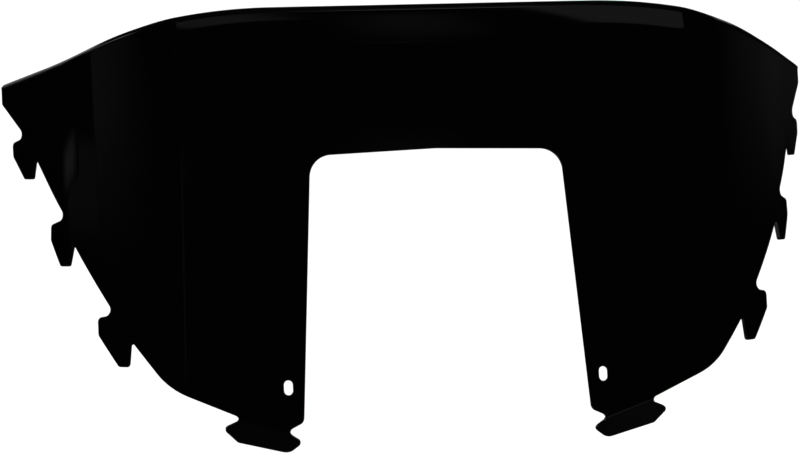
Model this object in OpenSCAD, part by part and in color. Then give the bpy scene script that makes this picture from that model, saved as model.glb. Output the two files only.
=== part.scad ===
// Wrap-around windshield screen, cut and formed from one sheet of gloss black polycarbonate.
// The flat centre panel stands upright. +X is across, -Y is the front and +Z is up.
// The origin is midway between the two mounting slots, on the panel's front face.
// Outlines are drawn on the flat sheet as [across, up, corner radius], and then formed.

/* [Sheet] */
// Thickness of the sheet
sheet_t = 4; // [3:0.5:5]
// Half the width of the flat centre panel, up to where the bend starts
flat_half_w = 208; // [200:1:212]
// Radius of the front face in the side bends
bend_r = 125; // [115:1:135]
// Angle that each wing is turned back by
bend_angle = 57.8; // [50:0.1:62]

/* [Top edge] */
// Height of the top edge at the middle
top_z = 309; // [305:1:320]
// Height of the top edge at the tips of the wings
tip_z = 268; // [264:0.5:272]
// Distance from the middle to each tip, along the sheet
tip_s = 401; // [400:0.5:404]
// Height of the strip along the top edge that flares forward
flare_h = 30; // [20:1:34]
// Radius of the flare
flare_r = 80; // [60:5:150]
// Front radius of the rolled lip along the very edge
lip_r = 2.5; // [2:0.5:4]
// Angle that the lip rolls forward by, past the flare
lip_angle = 45; // [20:5:50]

/* [Cut-out] */
// Height of the cut-out's top edge at the middle
cutout_z = 190.5; // [180:0.5:195]
// Half the width of the cut-out at its top corners
cutout_half_w = 104; // [95:1:108]
// Drop of the cut-out's top edge from the middle to its corners
cutout_arch = 3.5; // [0:0.5:6]
// Radius of the cut-out's top corners
cutout_r = 19; // [6:1:25]

/* [Mounting slots] */
// Distance of each slot from the middle
slot_x = 130; // [126:0.5:134]
// Width of each slot
slot_w = 7.5; // [6:0.5:9]
// Height of each slot, end to end
slot_h = 12; // [10:0.5:16]

/* [Feet] */
// Angle that each T-shaped foot is bent back by
foot_angle = 18; // [0:1:25]

/* [Hidden] */

arc_steps = 5;            // straight pieces in a rounded corner
long_arc_steps = 10;      // straight pieces in a corner of large radius
bend_steps = 18;          // flat strips in a side bend
flare_steps = 6;          // flat strips up the flare
lip_steps = 4;            // and round the lip
grid = 0.05;              // points across the sheet fall on this grid, so none nearly meet
flare_fade = 45;          // the flare dies out over this length of each bend
wing_flare_h = 3;         // the height that is left of it in the wings
touching = 0.001;         // points this near to a line count as on it
cut_margin = 5;           // how far a cutter runs past the sheet's faces
slot_facets = 48;         // facets round each slot end

bend_len = bend_r * bend_angle * PI / 180;
rulings = [for (k = [0 : bend_steps]) snap(flat_half_w + bend_len * k / bend_steps)];

// The right half of the top edge: level, a soft shoulder over the bend, and a lower wing
shoulder = [201, top_z, 450];
wing_foot = [309.5, tip_z + 7, 220];

// Everything below is the right half of the outline, going down from the tip.
tip_foot = [tip_s, 251, 4];
// Each hook hangs from the side edge: a rounded relief above it, four corners, a narrow notch below
hook_top = [[367, 219.7, 4.5], [387, 216.7, 4], [386.5, 205, 3], [370.5, 184.5, 3.5], [360, 183.5, 3],
            [354.2, 202.5, 3.5]];
hook_mid = [[313.7, 146.6, 5], [333.5, 143, 4], [334.5, 130.5, 3], [322.5, 108, 3.5], [313, 107.3, 2.8],
            [306.8, 126, 2.2]];
hook_low = [[268.4, 65, 5.5], [284.3, 63.7, 4], [284.3, 49.5, 3], [266.8, 23, 3.5], [258, 22.3, 3],
            [255.4, 43.5, 1.8]];
leg_corner = [225.8, 3.1, 60];
neck_out = [166.9, -23.4, 3.1];
foot_corners = [[184.4, -31.1, 3], [172.4, -43.1, 5], [131.5, -53.6, 10], [120.2, -44.9, 3]];
neck_in = [133.6, -35.5, 3.6];
leg_foot = [118.6, -28.4, 6];
cutout_corner = [cutout_half_w, cutout_z - cutout_arch, cutout_r];

function snap(v) = round(v / grid) * grid;
function flat(p) = [p.x, p.y];
function unit(v) = v / norm(v);
function mirrored(run) = [for (k = [len(run) - 1 : -1 : 0]) [-run[k].x, run[k].y]];
// Numbers in rising order, each once
function sorted(v) = len(v) == 0 ? [] : let (p = v[floor(len(v) / 2)]) concat(
    sorted([for (x = v) if (x < p) x]), [p], sorted([for (x = v) if (x > p) x]));
// Pieces of outline in rising order of their middle height
function by_height(v) = len(v) == 0 ? [] : let (p = v[floor(len(v) / 2)]) concat(
    by_height([for (e = v) if (e[2] < p[2]) e]), [for (e = v) if (e[2] == p[2]) e],
    by_height([for (e = v) if (e[2] > p[2]) e]));

// The arc that rounds corner c between its neighbours a and b
function rounded(a, c, b) =
    let (u = unit(flat(a) - flat(c)), v = unit(flat(b) - flat(c)), half = acos(u * v) / 2,
         mid = flat(c) + unit(u + v) * c[2] / sin(half), from = -unit(u + v),
         turn = (90 - half) * sign(cross(u, v)), n = c[2] > 20 ? long_arc_steps : arc_steps)
    [for (k = [0 : n]) let (q = turn * (1 - 2 * k / n), w = mid + c[2] * [from.x * cos(q) - from.y * sin(q),
        from.x * sin(q) + from.y * cos(q)]) [snap(w.x), w.y]];
// All inner corners of a run of corners, rounded
function run_of(c) = [for (k = [1 : len(c) - 2]) each rounded(c[k - 1], c[k], c[k + 1])];

top_run = concat([[0, top_z]], run_of([[0, top_z], shoulder, wing_foot, [tip_s, tip_z]]), [[tip_s, tip_z]]);
cut_run = run_of(concat([[tip_s, tip_z], tip_foot], hook_top, hook_mid, hook_low, [leg_corner, neck_out],
    foot_corners, [neck_in, leg_foot, cutout_corner, [0, cutout_z]]));
// Each foot folds back about the line across its neck, between the middles of the two neck arcs
half_arc = floor(arc_steps / 2);
neck_a = rounded(leg_corner, neck_out, foot_corners[0])[half_arc];
neck_b = rounded(foot_corners[3], neck_in, leg_foot)[half_arc];
neck_dir = unit(neck_b - neck_a);
neck_down = [-neck_dir.y, neck_dir.x];
neck_mitre = -sheet_t * tan(foot_angle / 2) / neck_down.y;
function below_neck(p) = cross(neck_dir, [abs(p.x), p.y] - neck_a);

// Place and forward direction of the sheet's front face at s along it: flat, bent, flat
function at_angle(a) = [flat_half_w + bend_r * sin(a), bend_r * (1 - cos(a)), sin(a), -cos(a)];
function bent(s, k) = let (f = (s - rulings[k]) / (rulings[k + 1] - rulings[k]), da = bend_angle / bend_steps)
    at_angle(k * da) * (1 - f) + at_angle((k + 1) * da) * f;
function base(s) =
    s <= rulings[0] ? [s, 0, 0, -1]
    : s >= rulings[bend_steps] ? at_angle(bend_angle) + (s - rulings[bend_steps])
        * [cos(bend_angle), sin(bend_angle), 0, 0]
    : bent(s, max([for (k = [0 : bend_steps - 1]) if (s >= rulings[k]) k]));
function place(s) = let (b = base(abs(s)), m = s < 0 ? -1 : 1) [m * b[0], b[1], m * b[2], b[3]];
// A point of the sheet: u forward of the base, z up, tilted down by a; depth 0 front, 1 rear
function on_sheet(s, z, u, a, depth) = let (b = place(s), f = u - depth * sheet_t * cos(a))
    [b[0] + b[2] * f, b[1] + b[3] * f, z + depth * sheet_t * sin(a)];

// The flare and lip at s, from the bottom up, as [forward, up, tilt]
function flare_at(s) = let (t = min(1, max(0, (abs(s) - flat_half_w) / flare_fade)))
    flare_h + (wing_flare_h - flare_h) * t * t * (3 - 2 * t);
function flare_rows(s) = let (r = flare_r, a1 = flare_at(s) / r * 180 / PI) concat(
    [for (k = [0 : flare_steps]) let (a = a1 * k / flare_steps) [r * (1 - cos(a)), r * sin(a), a]],
    [for (k = [1 : lip_steps]) let (a = a1 + lip_angle * k / lip_steps)
        [r * (1 - cos(a1)) + lip_r * (cos(a1) - cos(a)), r * sin(a1) + lip_r * (sin(a) - sin(a1)), a]]);
row_n = flare_steps + lip_steps;

function line_height(run, s, k = 0) = s <= run[k + 1].x || k == len(run) - 2
    ? run[k].y + (run[k + 1].y - run[k].y) * (s - run[k].x) / (run[k + 1].x - run[k].x)
    : line_height(run, s, k + 1);
// Columns of the flared strip: the top edge's own points and the rulings of the bend
half_columns = sorted(concat([for (p = top_run) p.x], rulings));
columns = concat([for (k = [len(half_columns) - 1 : -1 : 1]) -half_columns[k]], half_columns);
// One column: the flare's rows as [s, z, forward, tilt], with the rear corner reaching the top edge
function column(s) = let (rows = flare_rows(s), top = rows[row_n],
    z0 = line_height(top_run, abs(s)) - sheet_t * sin(top[2]) - top[1])
    [for (r = rows) [s, z0 + r[1], r[0], r[2]]];
strip = [for (s = columns) column(s)];
strip_foot = [for (c = strip) [c[0][0], c[0][1]]];

// The closed outline of the sheet below the strip, clockwise as seen from the front
outline = concat(strip_foot, cut_run, mirrored(cut_run));
n_out = len(outline);
necks = [[neck_a, neck_b], mirrored([neck_a, neck_b])];
// A neck line counts twice, as the end of the leg and as the start of the foot
edges = concat([for (k = [0 : n_out - 1]) [outline[k], outline[(k + 1) % n_out]]], necks, necks);
cuts = sorted(concat([for (p = outline) p.x], rulings, -rulings));

function height_on(e, s) = s == e[0].x ? e[0].y : s == e[1].x ? e[1].y
    : e[0].y + (e[1].y - e[0].y) * (s - e[0].x) / (e[1].x - e[0].x);
function spans(e, a, b) = min(e[0].x, e[1].x) <= a && max(e[0].x, e[1].x) >= b;
line_points = [for (s = cuts) sorted([for (e = edges) if (spans(e, s, s))
    each (e[0].x == e[1].x ? [e[0].y, e[1].y] : [height_on(e, s)])])];
function between(i, lo, hi) = [for (h = line_points[i]) if (h > lo && h < hi) [cuts[i], h]];
function reversed(v) = [for (k = [len(v) - 1 : -1 : 0]) v[k]];
// The same face seen from its other side, still starting at its first point
function turned(f) = [for (k = [0 : len(f) - 1]) f[(len(f) - k) % len(f)]];

// The points of line i from height lo up to hi: one point if the two heights meet
function chain(i, lo, hi) = concat([[cuts[i], lo]], between(i, lo, hi), hi > lo ? [[cuts[i], hi]] : []);
function fan(apex, run) = len(run) > 1 ? [concat([apex], run)] : [];
// Each slab between two cuts, split into the pieces of sheet that lie in it, as fans about one point
slabs = [for (i = [0 : len(cuts) - 2])
    let (e = by_height([for (e = edges) if (e[0].x != e[1].x && spans(e, cuts[i], cuts[i + 1]))
             let (ha = height_on(e, cuts[i]), hb = height_on(e, cuts[i + 1])) [ha, hb, (ha + hb) / 2]]))
    for (k = [0 : 2 : len(e) - 2])
    let (left = chain(i, e[k][0], e[k + 1][0]), right = chain(i + 1, e[k][1], e[k + 1][1]))
    each concat(fan(left[0], right), fan(right[len(right) - 1], reversed(left)))];

// A flat point on the formed sheet: on the leg, on the mitre of the fold, or on the folded foot
function sheet(p, depth) = let (h = below_neck(p), t = depth * sheet_t)
    h < -touching ? on_sheet(p.x, p.y, 0, 0, depth)
    : h < touching ? [p.x, t, p.y + depth * neck_mitre]
    : let (w = [abs(p.x), p.y] + neck_down * (h * cos(foot_angle) - t * sin(foot_angle) - h))
        [sign(p.x) * w.x, h * sin(foot_angle) + t * cos(foot_angle), w.y];
function cell(c, depth) = on_sheet(c[0], c[1], c[2], c[3], depth);
// The points where the cuts cross the piece of outline from p to q
function split(p, q) = p.x == q.x
    ? let (i = search(p.x, cuts)[0], inner = between(i, min(p.y, q.y), max(p.y, q.y)))
        concat([p], q.y > p.y ? inner : reversed(inner), [q])
    : let (inner = [for (s = cuts) if (s > min(p.x, q.x) && s < max(p.x, q.x)) [s, height_on([p, q], s)]])
        concat([p], q.x > p.x ? inner : reversed(inner), [q]);

slab_faces = [for (f = slabs) each [[for (p = f) sheet(p, 0)], turned([for (p = f) sheet(p, 1)])]];
edge_faces = [for (k = [len(strip_foot) - 1 : n_out - 1])
    let (pts = split(outline[k], outline[(k + 1) % n_out]))
    for (j = [0 : len(pts) - 2])
        [sheet(pts[j], 0), sheet(pts[j + 1], 0), sheet(pts[j + 1], 1), sheet(pts[j], 1)]];
strip_faces = [for (i = [0 : len(strip) - 2], depth = [0, 1])
    let (foot = [for (p = split(strip_foot[i], strip_foot[i + 1])) sheet(p, depth)],
         low = concat([cell(strip[i][1], depth)], foot, [cell(strip[i + 1][1], depth)]))
    each concat([depth == 0 ? low : turned(low)],
        [for (k = [1 : row_n - 1]) let (q = [cell(strip[i][k], depth), cell(strip[i + 1][k], depth),
            cell(strip[i + 1][k + 1], depth), cell(strip[i][k + 1], depth)]) depth == 0 ? q : turned(q)])];
top_faces = [for (i = [0 : len(strip) - 2]) [cell(strip[i][row_n], 0), cell(strip[i + 1][row_n], 0),
    cell(strip[i + 1][row_n], 1), cell(strip[i][row_n], 1)]];
end_faces = [for (k = [0 : row_n - 1], side = [0, 1]) let (c = strip[side * (len(strip) - 1)],
    lo = c[k], hi = c[k + 1], q = [cell(lo, 0), cell(hi, 0), cell(hi, 1), cell(lo, 1)])
    side == 0 ? q : turned(q)];
all_faces = concat(slab_faces, edge_faces, strip_faces, top_faces, end_faces);
all_points = [for (f = all_faces) each f];
face_starts = [for (i = 0, n = 0; i < len(all_faces); n = n + len(all_faces[i]), i = i + 1) n];
face_lists = [for (i = [0 : len(all_faces) - 1])
    turned([for (k = [0 : len(all_faces[i]) - 1]) face_starts[i] + k])];

module formed_sheet() {
    polyhedron(points = all_points, faces = face_lists, convexity = 10);
}

module slot() {
    travel = (slot_h - slot_w) / 2;
    translate([slot_x, -cut_margin, 0]) rotate([-90, 0, 0]) {
        for (z = [-travel, travel])
            translate([0, z, 0]) cylinder(d = slot_w, h = sheet_t + 2 * cut_margin, $fn = slot_facets);
        translate([-slot_w / 2, -travel, 0]) cube([slot_w, 2 * travel, sheet_t + 2 * cut_margin]);
    }
}

module windshield_screen() {
    color([0.02, 0.02, 0.024])
    difference() {
        formed_sheet();
        slot();
        mirror([1, 0, 0]) slot();
    }
}

windshield_screen();
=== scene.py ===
import math

import bmesh
import bpy
from mathutils import Matrix, Vector
from mathutils.geometry import tessellate_polygon


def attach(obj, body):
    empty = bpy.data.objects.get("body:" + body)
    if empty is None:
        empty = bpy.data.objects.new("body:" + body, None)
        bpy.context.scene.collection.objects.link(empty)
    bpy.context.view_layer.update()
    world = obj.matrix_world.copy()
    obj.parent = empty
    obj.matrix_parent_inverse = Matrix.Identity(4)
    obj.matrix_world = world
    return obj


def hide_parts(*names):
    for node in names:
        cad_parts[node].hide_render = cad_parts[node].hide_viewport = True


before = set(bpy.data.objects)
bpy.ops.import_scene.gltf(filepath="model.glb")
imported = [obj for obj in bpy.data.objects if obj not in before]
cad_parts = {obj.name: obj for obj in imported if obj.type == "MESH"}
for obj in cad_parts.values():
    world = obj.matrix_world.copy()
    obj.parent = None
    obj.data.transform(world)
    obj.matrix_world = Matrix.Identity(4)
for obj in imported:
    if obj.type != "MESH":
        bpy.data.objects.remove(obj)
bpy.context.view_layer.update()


# ---------------------------------------------------------------------------
# The screen: one sheet of 4 mm polycarbonate, dyed gloss black right through.
# It is routed flat to its outline, with the cut-out, slots, hooks and feet,
# then heated and bent over a former; the two screws and the hooks hold it.
# ---------------------------------------------------------------------------

sheet_mm = 4.0
flat_half_width = 208.0          # the flat centre panel ends here
bend_radius = 125.0              # front face, in the side bends
bend_angle = math.radians(57.8)
bend_length = bend_radius * bend_angle

flare_radius = 80.0              # the top strip flares forward over the rider's side
flare_height_middle = 30.0
flare_height_wing = 3.0          # it dies out into each bend
flare_fade = 45.0
lip_radius = 2.5                 # then a small lip rolls further forward along the very edge
lip_angle = math.radians(45)

foot_angle = math.radians(18)    # the T-shaped feet fold back about their necks
foot_bend_radius = 5.0
neck_outer = Vector((171.5, -22.7))
neck_inner = Vector((130.0, -36.6))
neck_down = Vector((neck_outer.y - neck_inner.y, neck_inner.x - neck_outer.x)).normalized()

edge_round = 0.55                # the routed edges are scraped and flame-polished
edge_round_steps = 4

slot_x = 130.0
slot_width = 7.5
slot_height = 12.0

cutout_top = 190.3
tip_s = 401.0
# Corners of the right half, laid flat, as (across, up, radius)
top_corners = [(0, 309, 0), (201, 309, 450), (309.5, 275, 220), (tip_s, 268, 0)]
side_corners = [
    (401, 251, 4),
    (367, 219.7, 4.5), (387, 216.7, 4), (386.5, 205, 3),            # the top hook
    (370.5, 184.5, 3.5), (360, 183.5, 3), (354.2, 202.5, 3.5),
    (313.7, 146.6, 5), (333.5, 143, 4), (334.5, 130.5, 3),          # the middle hook
    (322.5, 108, 3.5), (313, 107.3, 2.8), (306.8, 126, 2.2),
    (268.4, 65, 5.5), (284.3, 63.7, 4), (284.3, 49.5, 3),           # the low hook
    (266.8, 23, 3.5), (258, 22.3, 3), (255.4, 43.5, 1.8),
    (225.8, 3.1, 60), (166.9, -23.4, 3.1),
    # the T-shaped foot, and then the cut-out
    (184.4, -31.1, 3), (172.4, -43.1, 5), (131.5, -53.6, 10), (120.2, -44.9, 3),
    (133.6, -35.5, 3.6), (118.6, -28.4, 6),
    (104, 187, 19),
]


def rounded_run(corners, chord=0.5):
    """The corners as a fine run of points, with each corner that has a radius turned on an arc."""
    run = []
    for k, (x, y, radius) in enumerate(corners):
        here = Vector((x, y))
        if k in (0, len(corners) - 1) or radius == 0:
            run.append(here)
            continue
        to_last = (Vector(corners[k - 1][:2]) - here).normalized()
        to_next = (Vector(corners[k + 1][:2]) - here).normalized()
        half = math.acos(max(-1, min(1, to_last.dot(to_next)))) / 2
        centre = here + (to_last + to_next).normalized() * radius / math.sin(half)
        inward = -(to_last + to_next).normalized()
        sweep = math.pi / 2 - half
        turn = 1 if to_last.x * to_next.y - to_last.y * to_next.x > 0 else -1
        steps = max(4, round(2 * sweep * radius / (chord if radius < 50 else 4)))
        for j in range(steps + 1):
            a = turn * sweep * (1 - 2 * j / steps)
            run.append(centre + radius * Vector((inward.x * math.cos(a) - inward.y * math.sin(a),
                                                 inward.x * math.sin(a) + inward.y * math.cos(a))))
    return run


def with_even_points(run, spacing):
    """The same run with long straights split into even lengths."""
    out = [run[0]]
    for a, b in zip(run, run[1:]):
        pieces = max(1, math.ceil((b - a).length / spacing))
        out += [a.lerp(b, (j + 1) / pieces) for j in range(pieces)]
    return out


top_line = rounded_run(top_corners)


def top_height(s):
    """How high the top edge stands at s, the distance from the middle along the sheet."""
    s = min(abs(s), tip_s)
    for a, b in zip(top_line, top_line[1:]):
        if s <= b.x:
            return a.y + (b.y - a.y) * (s - a.x) / (b.x - a.x)
    return top_line[-1].y


def flare_angle(s):
    past = min(1, max(0, (abs(s) - flat_half_width) / flare_fade))
    fade = past * past * (3 - 2 * past)
    return (flare_height_middle + (flare_height_wing - flare_height_middle) * fade) / flare_radius


def flare_foot(s):
    """Height where the flare starts, so that its rear top corner reaches the top edge."""
    a = flare_angle(s)
    rise = flare_radius * math.sin(a) + lip_radius * (math.sin(a + lip_angle) - math.sin(a))
    return top_height(s) - rise - sheet_mm * math.sin(a + lip_angle)


def sheet_top(s):
    """Height of the top edge measured up the curved face."""
    return flare_foot(s) + flare_radius * flare_angle(s) + lip_radius * lip_angle


def formed(s, v):
    """Place and outward normal of the front face: s along the sheet, v up its face, all in mm."""
    side = -1 if s < 0 else 1
    past = abs(s) - flat_half_width
    a = min(bend_angle, max(0, past / bend_radius))
    straight = max(0, past - bend_length)
    x = min(abs(s), flat_half_width) + bend_radius * math.sin(a) + straight * math.cos(a)
    y = bend_radius * (1 - math.cos(a)) + straight * math.sin(a)
    out = Vector((side * math.sin(a), -math.cos(a), 0))
    place = Vector((side * x, y, v))

    up_flare = v - flare_foot(s)
    if up_flare > 0:
        full = flare_angle(s)
        on_flare = min(up_flare, flare_radius * full)
        b = on_flare / flare_radius
        forward, rise = flare_radius * (1 - math.cos(b)), flare_radius * math.sin(b)
        if up_flare > flare_radius * full:
            c = full + (up_flare - flare_radius * full) / lip_radius
            forward += lip_radius * (math.cos(full) - math.cos(c))
            rise += lip_radius * (math.sin(c) - math.sin(full))
            b = c
        place = Vector((place.x, place.y, flare_foot(s) + rise)) + out * forward
        out = out * math.cos(b) - Vector((0, 0, math.sin(b)))
        return place, out

    below = (Vector((abs(s), v)) - neck_outer).dot(neck_down) + foot_bend_radius * math.tan(foot_angle / 2)
    if below > 0 and v < 0 and abs(s) < flat_half_width:
        b = min(foot_angle, below / foot_bend_radius)
        rest = below - b * foot_bend_radius
        along = foot_bend_radius * math.sin(b) + rest * math.cos(b)
        back = foot_bend_radius * (1 - math.cos(b)) + rest * math.sin(b)
        way = Vector((side * neck_down.x, 0, neck_down.y))
        place = place + way * (along - below) + Vector((0, back, 0))
        out = Vector((0, -math.cos(b), 0)) + way * math.sin(b)
    return place, out


def in_from_edge(loop, distance):
    """The loop moved into the sheet. It runs clockwise about the sheet, or anticlockwise about a hole."""
    moved = []
    for k, p in enumerate(loop):
        before, after = loop[k - 1], loop[(k + 1) % len(loop)]
        way = ((p - before).normalized() + (after - p).normalized()).normalized()
        moved.append(p + distance * Vector((way.y, -way.x)))
    return moved


def slot_loop(middle):
    """A round-ended upright slot, anticlockwise."""
    r, travel = slot_width / 2, (slot_height - slot_width) / 2
    steps = 20
    ends = [(lift, start + math.pi * j / steps) for lift, start in ((travel, 0), (-travel, math.pi))
            for j in range(steps + 1)]
    return [Vector((middle + r * math.cos(a), lift + r * math.sin(a))) for lift, a in ends]


top_run = [Vector((s, sheet_top(s))) for s in [tip_s * k / 180 for k in range(180)]]
side_run = rounded_run([(tip_s, sheet_top(tip_s) + 4, 0), *side_corners, (0, cutout_top, 0)])[1:-1]
tip = rounded_run([(*top_run[-1], 0), (tip_s, sheet_top(tip_s), 1.6), (*side_run[0], 0)])[1:-1]
right_half = with_even_points(top_run + tip + side_run + [Vector((0, cutout_top))], 2.5)
left_half = [Vector((-p.x, p.y)) for p in reversed(right_half[1:-1])]
loops = [in_from_edge(right_half + left_half, edge_round)]
loops += [in_from_edge(slot_loop(middle), edge_round) for middle in (-slot_x, slot_x)]

# The face is cut into small facets while its top edge is held level, so rows of facets follow that edge
level = [[Vector((p.x, p.y - sheet_top(p.x), 0)) for p in loop] for loop in loops]
corners = [p for loop in level for p in loop]
face = bmesh.new()
for p in corners:
    face.verts.new(p)
face.verts.ensure_lookup_table()
for three in tessellate_polygon(level):
    a, b, c = (corners[k] for k in three)
    if abs((b - a).cross(c - a).z) > 1e-7:
        order = three if (b - a).cross(c - a).z > 0 else reversed(three)
        face.faces.new([face.verts[k] for k in order])

# Wide facets on the flat, narrow ones in the bends and up the lip and flare
across = [k * 16.0 for k in range(14)]
across += [flat_half_width + bend_length * k / 54 for k in range(55)]
across += [flat_half_width + bend_length + 9.5 * k for k in range(1, 7)]
upward = [-0.25 * k for k in range(1, 9)]
upward += [-2 - 1.2 * k for k in range(1, 26)]
upward += [-32 - 12 * k for k in range(1, 28)]
for s in across:
    for side in (-1, 1):
        bmesh.ops.bisect_plane(face, geom=face.verts[:] + face.edges[:] + face.faces[:], dist=1e-4,
                               plane_co=(side * s, 0, 0), plane_no=(1, 0, 0))
for v in upward:
    bmesh.ops.bisect_plane(face, geom=face.verts[:] + face.edges[:] + face.faces[:], dist=1e-4,
                           plane_co=(0, v, 0), plane_no=(0, 1, 0))
for vert in face.verts:
    vert.co.y += sheet_top(vert.co.x)

# More rows follow the fold across each foot's neck, from just above the bend to just below it
fold_row_gap = 0.5
fold_rows_start = -1.3
for side in (-1, 1):
    for k in range(6):
        at = neck_outer + neck_down * (fold_rows_start + k * fold_row_gap)
        bmesh.ops.bisect_plane(face, geom=face.verts[:] + face.edges[:] + face.faces[:], dist=1e-4,
                               plane_co=(side * at.x, at.y, 0), plane_no=(side * neck_down.x, neck_down.y, 0))
face.verts.index_update()

# Round its rim go the rows of the polished edge, from the front face over to the rear one
rim = {}
for f in face.faces:
    for loop in f.loops:
        if loop.edge.is_boundary:
            rim.setdefault(loop.vert.index, []).append(loop.link_loop_next.vert.index)
leads_to = {a: b[0] for a, b in rim.items()}
comes_from = {b: a for a, b in leads_to.items()}
flat_place = [v.co.xy.copy() for v in face.verts]

points, normals, quads, is_edge = [], [], [], []
for depth, facing in ((0, 1), (sheet_mm, -1)):
    for p in flat_place:
        place, out = formed(*p)
        points.append(place - out * depth)
        normals.append(out * facing)
count = len(flat_place)
for f in face.faces:
    ids = [v.index for v in f.verts]
    quads += [ids, [count + k for k in reversed(ids)]]
    is_edge += [False, False]

profile = [(math.radians(90) * k / edge_round_steps, False) for k in range(1, edge_round_steps + 1)]
profile += [(a, True) for a, _ in reversed(profile[:-1])]
profile.insert(edge_round_steps, (math.radians(90), True))
rows = {}
for at in leads_to:
    p = flat_place[at]
    before, after = flat_place[comes_from[at]], flat_place[leads_to[at]]
    way = ((p - before).normalized() + (after - p).normalized()).normalized()
    outward = Vector((way.y, -way.x))
    place, out = formed(*p)
    beyond = formed(*(p + outward * 0.05))[0]
    tangent = (beyond - place).normalized()
    rows[at] = [at]
    for angle, rear in profile:
        spot, facing = formed(*(p + outward * edge_round * math.sin(angle)))
        depth = edge_round * (1 - math.cos(angle))
        rows[at].append(len(points))
        points.append(spot - facing * (sheet_mm - depth if rear else depth))
        normals.append(((-out if rear else out) * math.cos(angle) + tangent * math.sin(angle)).normalized())
    rows[at].append(count + at)
for a, b in leads_to.items():
    for k in range(len(profile) + 1):
        quads.append([rows[b][k], rows[a][k], rows[a][k + 1], rows[b][k + 1]])
        is_edge.append(True)

mesh = bpy.data.meshes.new("windshield_screen")
mesh.from_pydata([p / 1000 for p in points], [], quads)
mesh.polygons.foreach_set("use_smooth", [True] * len(quads))
mesh.polygons.foreach_set("material_index", [int(e) for e in is_edge])
mesh.update()
mesh.normals_split_custom_set_from_vertices(normals)
screen = bpy.data.objects.new("formed_screen", mesh)
bpy.context.scene.collection.objects.link(screen)
face.free()


def linear(hex_colour):
    """An sRGB hex colour as linear values."""
    parts = [int(hex_colour[k:k + 2], 16) / 255 for k in (1, 3, 5)]
    return tuple(c / 12.92 if c <= 0.04045 else ((c + 0.055) / 1.055) ** 2.4 for c in parts) + (1,)


def add_node(tree, kind, settings=None, links=None):
    """Adds a node, sets its values and sockets, and links (socket: (from node, its output))."""
    node = tree.nodes.new(kind)
    for name, value in (settings or {}).items():
        if isinstance(name, int) or name in node.inputs:
            node.inputs[name].default_value = value
        else:
            setattr(node, name, value)
    for name, (source, output) in (links or {}).items():
        tree.links.new(source.outputs[output], node.inputs[name])
    return node


# Polycarbonate, dyed black in the melt and extruded between polished rolls: a deep mirror gloss whose
# reflections wander a little with the roll's faint waviness, and faint haze where it has been wiped
polished_sheet = bpy.data.materials.new("gloss_black_polycarbonate")
polished_sheet.use_nodes = True
tree = polished_sheet.node_tree
tree.nodes.clear()
roll_wave_mm = 45
haze_patch_mm = 60
where = add_node(tree, "ShaderNodeTexCoord")
waviness = add_node(tree, "ShaderNodeTexNoise", {"Scale": 1000 / roll_wave_mm, "Detail": 1.0},
                    {"Vector": (where, "Object")})
wavy = add_node(tree, "ShaderNodeBump", {"Strength": 0.25, "Distance": 0.00002},
                {"Height": (waviness, "Fac")})
haze = add_node(tree, "ShaderNodeTexNoise", {"Scale": 1000 / haze_patch_mm, "Detail": 5.0},
                {"Vector": (where, "Object")})
haze_roughness = add_node(tree, "ShaderNodeMapRange", {"From Min": 0.3, "From Max": 0.75, "To Min": 0.035,
                                                       "To Max": 0.075}, {"Value": (haze, "Fac")})
gloss = add_node(tree, "ShaderNodeBsdfPrincipled", {"Base Color": linear("#020203"), "IOR": 1.585},
                 {"Roughness": (haze_roughness, "Result"), "Normal": (wavy, "Normal")})
add_node(tree, "ShaderNodeOutputMaterial", links={"Surface": (gloss, "BSDF")})

# The same sheet where the router cut it: scraped and flame-polished, so duller, with fine cutter marks
routed_edge = bpy.data.materials.new("flame_polished_edge")
routed_edge.use_nodes = True
tree = routed_edge.node_tree
tree.nodes.clear()
cutter_mark_mm = 1.5
where = add_node(tree, "ShaderNodeTexCoord")
marks = add_node(tree, "ShaderNodeTexNoise", {"Scale": 1000 / cutter_mark_mm, "Detail": 2.0},
                 {"Vector": (where, "Object")})
marked = add_node(tree, "ShaderNodeBump", {"Strength": 0.3, "Distance": 0.00003}, {"Height": (marks, "Fac")})
satin = add_node(tree, "ShaderNodeBsdfPrincipled", {"Base Color": linear("#040405"), "IOR": 1.585,
                                                    "Roughness": 0.14}, {"Normal": (marked, "Normal")})
add_node(tree, "ShaderNodeOutputMaterial", links={"Surface": (satin, "BSDF")})

mesh.materials.append(polished_sheet)
mesh.materials.append(routed_edge)
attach(screen, "root")
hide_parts("windshield_screen")


# ---------------------------------------------------------------------------
# The studio: a wide matt white floor and white surround, both kept out of the
# gloss, so that the black sheet mirrors only the soft boxes.
# ---------------------------------------------------------------------------

floor_z = -0.45
floor_half = 12
square = ((-1, -1), (1, -1), (1, 1), (-1, 1))
floor_mesh = bpy.data.meshes.new("studio_floor")
floor_mesh.from_pydata([(x * floor_half, y * floor_half, floor_z) for x, y in square], [], [(0, 1, 2, 3)])
floor = bpy.data.objects.new("studio_floor", floor_mesh)
bpy.context.scene.collection.objects.link(floor)
matt_white = bpy.data.materials.new("matt_white_floor_paint")
matt_white.use_nodes = True
tree = matt_white.node_tree
tree.nodes.clear()
paint = add_node(tree, "ShaderNodeBsdfPrincipled", {"Base Color": linear("#F7F7F5"), "Roughness": 0.9})
add_node(tree, "ShaderNodeOutputMaterial", links={"Surface": (paint, "BSDF")})
floor_mesh.materials.append(matt_white)
floor.visible_glossy = False

surround = bpy.data.worlds.new("white_surround")
surround.use_nodes = True
surround.node_tree.nodes["Background"].inputs["Color"].default_value = (1, 1, 1, 1)
surround.node_tree.nodes["Background"].inputs["Strength"].default_value = 1.05
surround.cycles_visibility.glossy = False
bpy.context.scene.world = surround


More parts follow.
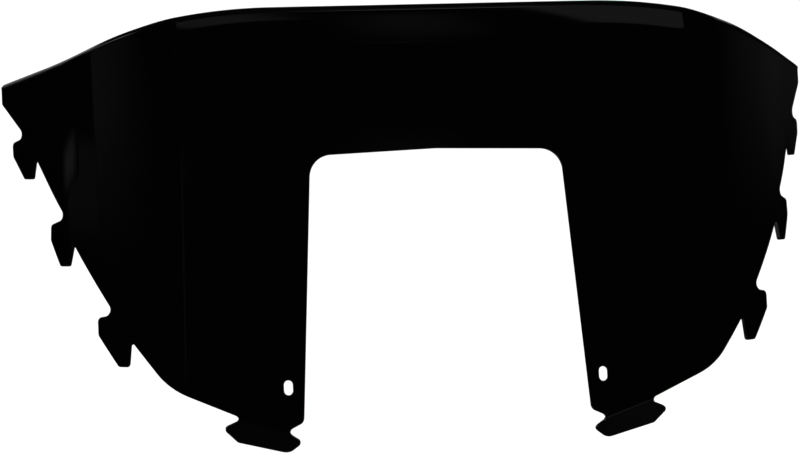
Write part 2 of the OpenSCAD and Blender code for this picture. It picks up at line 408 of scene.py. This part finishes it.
def soft_box(name, azimuth, elevation, width, height, brightness, fades=(0.3, 0.3, 0.3, 0.3), lean=0,
             distance=2.2, aim=(0, 0, 0.15)):
    """A diffuser panel. Azimuth 0 is in front and 90 to +X. It fades over these shares of its size at left,
    right, bottom and top."""
    a, e = math.radians(azimuth), math.radians(elevation)
    way = Vector((math.sin(a) * math.cos(e), -math.cos(a) * math.cos(e), math.sin(e)))
    panel_mesh = bpy.data.meshes.new(name)
    panel_mesh.from_pydata([(x * width / 2, y * height / 2, 0) for x, y in square], [], [(0, 1, 2, 3)])
    panel = bpy.data.objects.new(name, panel_mesh)
    facing = way.to_track_quat("Z", "Y").to_matrix().to_4x4() @ Matrix.Rotation(math.radians(lean), 4, "Z")
    panel.matrix_world = Matrix.Translation(Vector(aim) + way * distance) @ facing
    bpy.context.scene.collection.objects.link(panel)
    diffuser = bpy.data.materials.new(name + "_diffuser")
    diffuser.use_nodes = True
    tree = diffuser.node_tree
    tree.nodes.clear()
    where = add_node(tree, "ShaderNodeTexCoord")
    apart = add_node(tree, "ShaderNodeSeparateXYZ", links={"Vector": (where, "Generated")})
    level = None
    for axis, edge, fade in (("X", 0, fades[0]), ("X", 1, fades[1]), ("Y", 0, fades[2]), ("Y", 1, fades[3])):
        ramp = add_node(tree, "ShaderNodeMapRange", {
            "interpolation_type": "SMOOTHSTEP", "From Min": edge, "From Max": abs(edge - fade),
            "To Min": 0.0, "To Max": brightness if level is None else 1.0}, {"Value": (apart, axis)})
        if level is None:
            level = (ramp, "Result")
            continue
        faded = add_node(tree, "ShaderNodeMath", {"operation": "MULTIPLY"}, {0: level, 1: (ramp, "Result")})
        level = (faded, "Value")
    glow = add_node(tree, "ShaderNodeEmission", {"Color": (1, 1, 1, 1)}, {"Strength": level})
    add_node(tree, "ShaderNodeOutputMaterial", links={"Surface": (glow, "Emission")})
    panel_mesh.materials.append(diffuser)
    panel.visible_camera = False
    panel.visible_shadow = False
    panel.visible_diffuse = False
    return panel


# Tall panels at both sides, which run up the bends, with a small one that catches the left wing
soft_box("left_box", -43, 14, 2.05, 1.0, 0.05, fades=(0.02, 0.97, 0.35, 0.2))
soft_box("far_left_box", -81, 5.2, 1.1, 0.2, 0.036, fades=(0.15, 0.03, 0.5, 0.15))
soft_box("far_left_card", -90, 6.6, 0.6, 0.09, 0.11, fades=(0.4, 0.4, 0.4, 0.4), lean=5, distance=2.1)
soft_box("right_box", 76, 14, 2.15, 0.95, 0.036, fades=(0.6, 0.001, 0.35, 0.2))
soft_box("far_right_box", 126, 14, 1.96, 0.95, 0.036, fades=(0.001, 0.97, 0.35, 0.2))
# In front, faint panels over the middle of the sheet, and a narrow strip where the left bend starts
soft_box("front_box", 9.5, -10, 0.34, 1.5, 0.045, fades=(0.5, 0.5, 0.2, 0.5))
soft_box("cut_out_card", 8.6, 7.2, 0.28, 0.1, 0.03, fades=(0.5, 0.5, 0.1, 0.6), distance=2.1)
soft_box("bend_strip", -3.4, 2.6, 0.035, 0.45, 0.07, fades=(0.3, 0.3, 0.15, 0.15), lean=-20)
# Below, the panels that the flare, the rolled lip and the feet look down at
soft_box("low_right_box", 22, -27, 0.42, 1.43, 0.13, fades=(0.1, 0.05, 0.3, 0.06))
soft_box("low_left_box", 1.0, -34, 0.26, 1.1, 0.11, fades=(0.04, 0.7, 0.3, 0.06), lean=-8)
soft_box("under_box", 18, -52, 0.7, 0.8, 0.7, fades=(0.4, 0.4, 0.3, 0.3))
soft_box("under_left_box", -66, -42, 1.8, 1.0, 1.3, fades=(0.4, 0.3, 0.3, 0.3))
soft_box("left_lip_box", -112, -34, 1.0, 0.9, 1.2, fades=(0.4, 0.3, 0.3, 0.3), distance=2.4)
soft_box("right_foot_card", 35, -34, 0.3, 0.3, 0.03, fades=(0.4, 0.4, 0.4, 0.4))
soft_box("left_foot_card", -10, -38, 0.3, 0.3, 0.012, fades=(0.4, 0.4, 0.4, 0.4))
# Above and behind, for the top edge and the rear face
soft_box("overhead_box", 180, 72, 2.0, 1.4, 0.4, distance=2.6)
soft_box("rear_left_box", -150, 25, 1.8, 1.2, 0.5, distance=2.8)
soft_box("rear_right_box", 150, 25, 1.8, 1.2, 0.35, distance=2.8)
soft_box("rear_low_box", 184, -10, 0.9, 0.7, 0.22, fades=(0.03, 0.9, 0.5, 0.3), distance=2.8)
soft_box("rear_low_right_box", 138, -16, 0.9, 0.8, 0.28, fades=(0.9, 0.03, 0.3, 0.5), distance=2.8)
soft_box("rear_low_left_box", -118, -16, 1.2, 0.8, 0.28, fades=(0.03, 0.9, 0.3, 0.5), distance=2.8)

# The camera, 2 m away, a little left of the middle and looking slightly up
camera_data = bpy.data.cameras.new("camera")
camera_data.sensor_width = 36
camera_data.lens = 112.5
camera_data.clip_start, camera_data.clip_end = 0.05, 60
camera = bpy.data.objects.new("camera", camera_data)
bpy.context.scene.collection.objects.link(camera)
bpy.context.scene.camera = camera
turned = math.radians(9.10)
raised = math.radians(4.50)
rolled = math.radians(-2.78)
look = Vector((math.sin(turned) * math.cos(raised), math.cos(turned) * math.cos(raised), math.sin(raised)))
across_view = Vector((math.cos(turned), -math.sin(turned), 0))
upright = Matrix((across_view, across_view.cross(look), -look)).transposed()
camera.matrix_world = (Matrix.Translation((-0.35412, -2.00388, -0.03331))
                       @ upright.to_4x4() @ Matrix.Rotation(rolled, 4, "Z"))
bpy.context.scene.view_settings.view_transform = "Standard"
